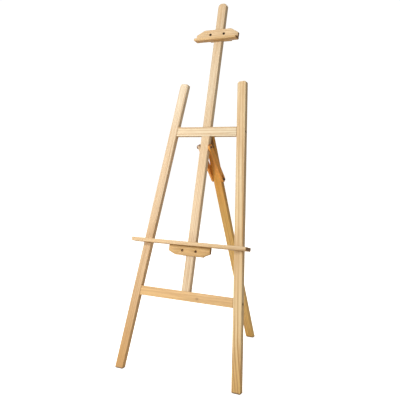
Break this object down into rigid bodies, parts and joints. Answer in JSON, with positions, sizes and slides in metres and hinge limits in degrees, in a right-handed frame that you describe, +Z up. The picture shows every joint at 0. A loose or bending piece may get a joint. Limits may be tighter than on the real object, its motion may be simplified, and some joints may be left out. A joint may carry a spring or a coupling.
{
  "type": "artist easel",
  "caption": "Folding wooden artist easel: leaning A-shaped front frame with a central mast, hinged rear leg with slotted stays, sliding canvas tray and sliding top clamp.",
  "frame": {"origin": "centre of the footprint on the floor, under the middle of the bounding box", "axes": "+Z up, the easel's front (the side with the canvas tray) faces -Y, +X to the right when seen from the front"},
  "size_m": [0.5646, 0.6452, 1.4512],
  "materials": {
    "pine": "planed and sanded, thin clear coat, satin",
    "beech": "raw fluted dowel wood",
    "zinc_steel": "zinc plated, light wear",
    "dark_steel": "black oxide, slightly worn",
    "brass": "antique brass plated, dull"
  },
  "bodies": {
    "front_frame": {"left_leg": "pine", "right_leg": "pine", "upper_rail": "pine", "lower_rail": "pine", "mast": "pine", "lower_crossing_screw": "zinc_steel", "hinge_pin": "brass", "hinge_mast_leaf": "brass", "hinge_mast_screw_1": "brass", "hinge_mast_screw_2": "brass", "hinge_mast_screw_3": "brass", "upper_stay_washer": "zinc_steel", "upper_stay_bolt": "dark_steel", "upper_rail_left_bolt": "dark_steel", "upper_rail_left_upper_dowel": "beech", "upper_rail_left_lower_dowel": "beech", "upper_rail_right_bolt": "dark_steel", "upper_rail_right_upper_dowel": "beech", "upper_rail_right_lower_dowel": "beech", "lower_rail_left_bolt": "dark_steel", "lower_rail_left_upper_dowel": "beech", "lower_rail_left_lower_dowel": "beech", "lower_rail_right_bolt": "dark_steel", "lower_rail_right_upper_dowel": "beech", "lower_rail_right_lower_dowel": "beech"},
    "rear_leg": {"rear_leg": "pine", "hinge_leg_leaf": "brass", "hinge_leg_screw_1": "brass", "hinge_leg_screw_2": "brass", "hinge_leg_screw_3": "brass", "lower_stay_bolt": "dark_steel", "lower_stay_nut": "dark_steel", "lower_stay_washer_left": "zinc_steel", "lower_stay_washer_right": "zinc_steel"},
    "stay_left": {"stay_left": "pine"},
    "stay_right": {"stay_right": "pine"},
    "stay_knob": {"stay_knob": "brass"},
    "tray": {"tray_board": "pine", "tray_front_block": "pine", "tray_back_block": "pine", "tray_board_screw_left": "zinc_steel", "tray_board_screw_right": "zinc_steel", "tray_left_bolt": "dark_steel", "tray_right_bolt": "dark_steel", "tray_left_washer": "zinc_steel", "tray_right_washer": "zinc_steel"},
    "tray_left_wing_nut": {"tray_left_wing_nut": "zinc_steel"},
    "tray_right_wing_nut": {"tray_right_wing_nut": "zinc_steel"},
    "top_clamp": {"clamp_front_block": "pine", "clamp_back_block": "pine", "clamp_lip": "pine", "clamp_lip_screw_left": "zinc_steel", "clamp_lip_screw_right": "zinc_steel", "clamp_left_bolt": "dark_steel", "clamp_right_bolt": "dark_steel", "clamp_left_washer": "zinc_steel", "clamp_right_washer": "zinc_steel"},
    "clamp_left_wing_nut": {"clamp_left_wing_nut": "zinc_steel"},
    "clamp_right_wing_nut": {"clamp_right_wing_nut": "zinc_steel"}
  },
  "joints": [
    {"name": "rear_leg_fold", "type": "hinge", "parent": "front_frame", "child": "rear_leg", "pos_m": [0, -0.05993, 0.90852], "axis": [1, 0, 0], "range_deg": [-31, 0]},
    {"name": "stay_left_swing", "type": "hinge", "parent": "front_frame", "child": "stay_left", "pos_m": [0, -0.08239, 0.8735], "axis": [1, 0, 0], "range_deg": [-35.6, 0.1]},
    {"name": "stay_right_swing", "type": "hinge", "parent": "front_frame", "child": "stay_right", "pos_m": [0, -0.08239, 0.8735], "axis": [1, 0, 0], "range_deg": [-35.6, 0.1]},
    {"name": "stay_knob_turn", "type": "hinge", "parent": "front_frame", "child": "stay_knob", "pos_m": [0, -0.08239, 0.8735], "axis": [1, 0, 0], "continuous": true},
    {"name": "tray_slide", "type": "slide", "parent": "front_frame", "child": "tray", "axis": [0, 0.2558, 0.9667], "range_m": [-0.13, 0.2]},
    {"name": "tray_left_wing_nut_turn", "type": "hinge", "parent": "tray", "child": "tray_left_wing_nut", "pos_m": [-0.0305, -0.16572, 0.46647], "axis": [0, 0.9667, -0.2558], "continuous": true},
    {"name": "tray_right_wing_nut_turn", "type": "hinge", "parent": "tray", "child": "tray_right_wing_nut", "pos_m": [0.0305, -0.16572, 0.46647], "axis": [0, 0.9667, -0.2558], "continuous": true},
    {"name": "top_clamp_slide", "type": "slide", "parent": "front_frame", "child": "top_clamp", "axis": [0, 0.2558, 0.9667], "range_m": [-0.35, 0.09]},
    {"name": "clamp_left_wing_nut_turn", "type": "hinge", "parent": "top_clamp", "child": "clamp_left_wing_nut", "pos_m": [-0.0305, 0.05804, 1.31217], "axis": [0, 0.9667, -0.2558], "continuous": true},
    {"name": "clamp_right_wing_nut_turn", "type": "hinge", "parent": "top_clamp", "child": "clamp_right_wing_nut", "pos_m": [0.0305, 0.05804, 1.31217], "axis": [0, 0.9667, -0.2558], "continuous": true}
  ],
  "couplings": [
    {"joint": "stay_left_swing", "follows": "rear_leg_fold", "ratio": 1.145},
    {"joint": "stay_right_swing", "follows": "rear_leg_fold", "ratio": 1.145}
  ]
}
